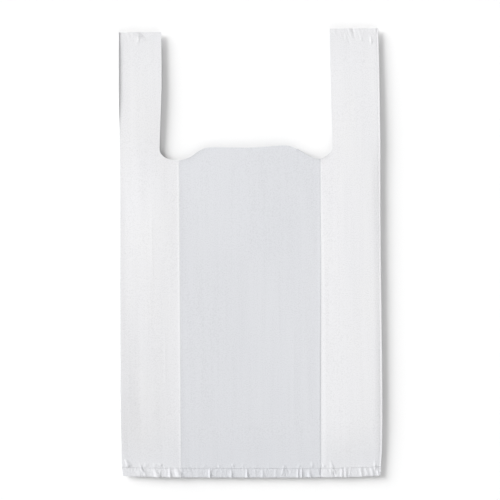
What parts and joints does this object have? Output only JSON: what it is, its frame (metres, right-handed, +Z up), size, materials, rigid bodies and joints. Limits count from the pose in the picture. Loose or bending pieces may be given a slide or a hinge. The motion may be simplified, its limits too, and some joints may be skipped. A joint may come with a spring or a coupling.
{
  "type": "plastic carrier bag",
  "caption": "Vest-type carrier bag of thin white plastic film with loop handles and folded side gussets, empty and lying flat.",
  "frame": {"origin": "on the surface that the bag lies on, under the middle of its bounding box", "axes": "+Y along the bag from the bottom weld to the handles, +Z up from the surface through the back panel to the front panel, +X to the right seen from above"},
  "size_m": [0.28, 0.48, 0.008],
  "materials": {
    "film": "thin white polythene film with a soft sheen, whiter where more layers lie on each other"
  },
  "bodies": {
    "root": {"carrier_bag": "film"}
  },
  "joints": []
}
